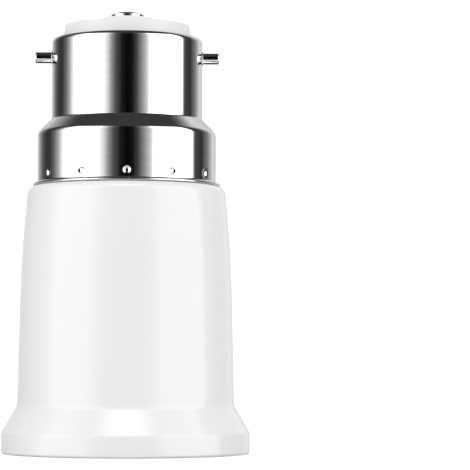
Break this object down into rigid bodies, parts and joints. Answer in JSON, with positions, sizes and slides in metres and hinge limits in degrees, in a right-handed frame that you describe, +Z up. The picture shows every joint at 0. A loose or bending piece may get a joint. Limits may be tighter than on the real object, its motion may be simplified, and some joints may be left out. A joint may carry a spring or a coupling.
{
  "type": "lamp socket adapter",
  "caption": "Adapter with a bayonet cap on top and an E27 screw socket below, in a flared white housing, for using a screw-cap lamp in a bayonet holder.",
  "frame": {"origin": "centre of the flat rim around the socket mouth, at the bottom of the part", "axes": "+Z up along the common axis, from the screw socket to the bayonet cap; the bayonet pins point along -X and +X; the two cap contacts lie on -Y and +Y"},
  "size_m": [0.0362, 0.0362, 0.064],
  "materials": {
    "white_plastic": "glossy white moulded plastic",
    "plated_shell": "bright nickel plating on drawn brass",
    "plated_pin": "bright nickel plating, turned",
    "insulator_plastic": "satin white moulded plastic",
    "contact_metal": "bright plated contact stud",
    "gold_aluminium": "gold-coloured anodised aluminium, rolled",
    "screw_steel": "nickel-plated steel",
    "grey_plastic": "dark grey moulded insulating plastic",
    "leaf_metal": "plated spring strip, satin",
    "copper": "polished copper alloy",
    "terminal_brass": "plain brass",
    "lead_insulation": "heat-proof sleeving"
  },
  "bodies": {
    "root": {"housing": "white_plastic", "cap_shell": "plated_shell", "bayonet_pin_left": "plated_pin", "bayonet_pin_right": "plated_pin", "cap_insulator": "insulator_plastic", "cap_contact_front": "contact_metal", "cap_contact_rear": "contact_metal", "screw_shell": "gold_aluminium", "shell_screw": "screw_steel", "contact_base": "grey_plastic", "contact_leaf": "leaf_metal", "contact_button": "copper", "leaf_screw": "screw_steel", "shell_terminal": "terminal_brass", "leaf_terminal": "terminal_brass", "shell_lead": "lead_insulation", "leaf_lead": "lead_insulation"}
  },
  "joints": []
}
